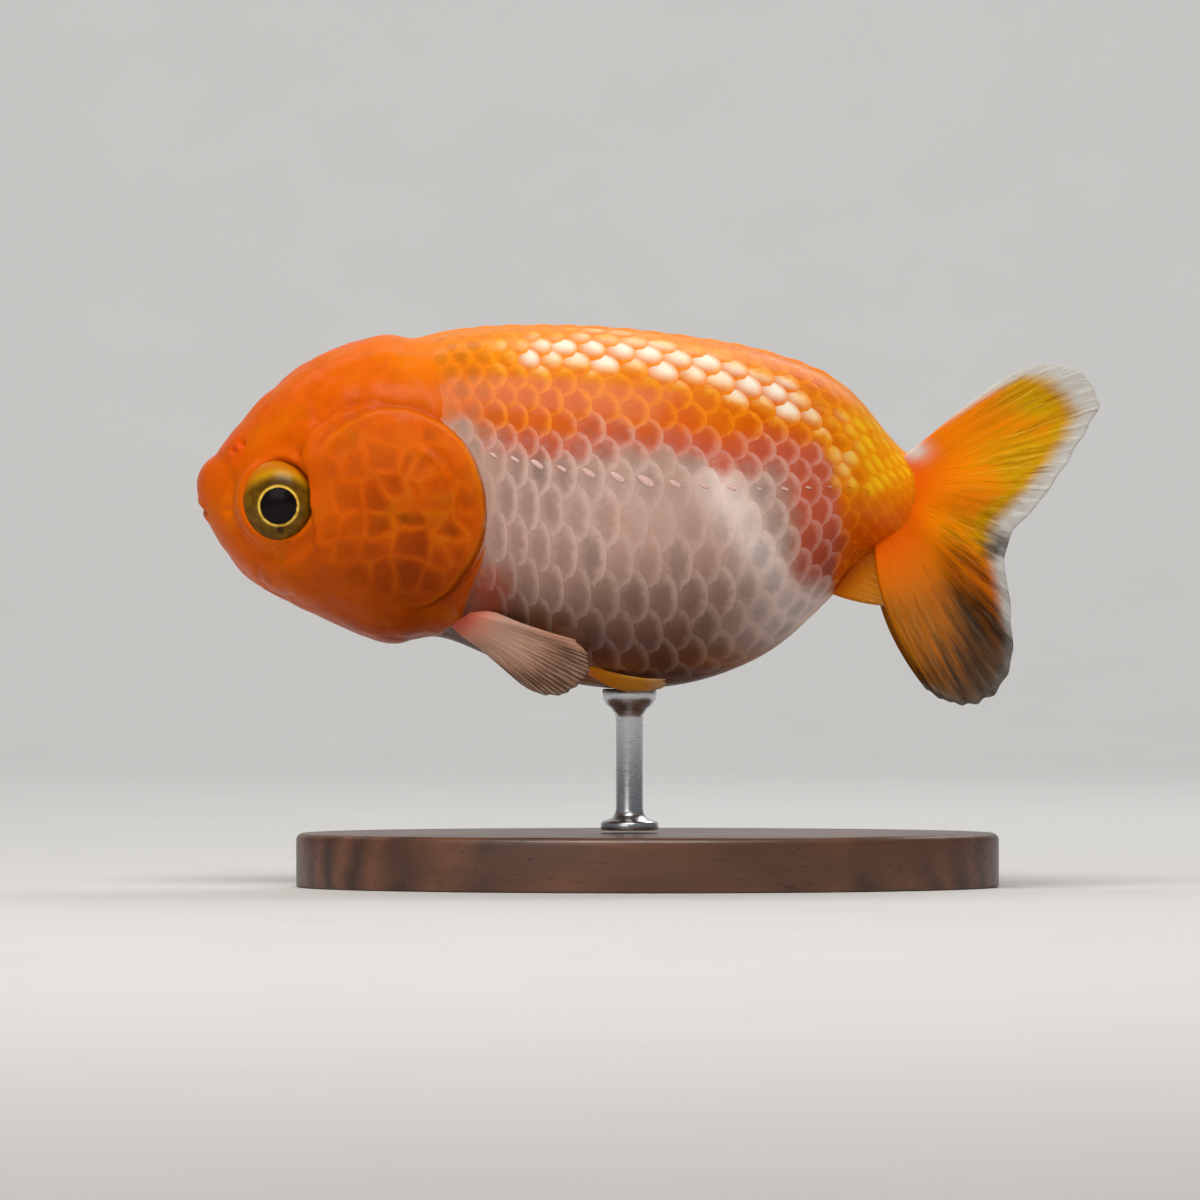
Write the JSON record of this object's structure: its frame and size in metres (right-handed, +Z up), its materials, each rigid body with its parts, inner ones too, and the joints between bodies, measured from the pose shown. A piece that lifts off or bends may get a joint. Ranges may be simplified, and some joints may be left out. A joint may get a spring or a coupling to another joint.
{
  "type": "ranchu goldfish model on a display stand",
  "caption": "Life-size still model of a deep-bodied ranchu goldfish with a paired tail and no back fin, held level on a rod over an oval base.",
  "frame": {"origin": "centre of the base's underside, below the middle of the fish's length", "axes": "-X towards the snout, +X towards the tail, -Y to the fish's left side, +Z up"},
  "size_m": [0.0996, 0.046, 0.0624],
  "materials": {
    "head_skin": "wet gloss, bright orange",
    "gill_cover": "wet gloss, deep orange with a lighter network",
    "flank_skin": "pearly scales, orange over the back, pinkish grey on the flank",
    "stalk_skin": "pearly orange scales with golden edges",
    "eye": "polished, black pupil in a gold ring",
    "pectoral_fin": "thin, clear and whitish with pale rays",
    "pelvic_fin": "thin, yellowish",
    "anal_fin": "thin, yellowish orange",
    "tail_fin": "thin, orange at the root and clear whitish at the margin",
    "base_wood": "dark oiled walnut",
    "rod_steel": "brushed"
  },
  "bodies": {
    "root": {"head": "head_skin", "lower_jaw": "head_skin", "eye_left": "eye", "eye_right": "eye", "gill_cover_left": "gill_cover", "gill_cover_right": "gill_cover", "trunk": "flank_skin", "tail_stalk": "stalk_skin", "pectoral_fin_left": "pectoral_fin", "pectoral_fin_right": "pectoral_fin", "pelvic_fin_left": "pelvic_fin", "pelvic_fin_right": "pelvic_fin", "anal_fin_left": "anal_fin", "anal_fin_right": "anal_fin", "tail_fin_left_upper": "tail_fin", "tail_fin_left_lower": "tail_fin", "tail_fin_right_upper": "tail_fin", "tail_fin_right_lower": "tail_fin", "stand_base": "base_wood", "stand_rod": "rod_steel"}
  },
  "joints": []
}
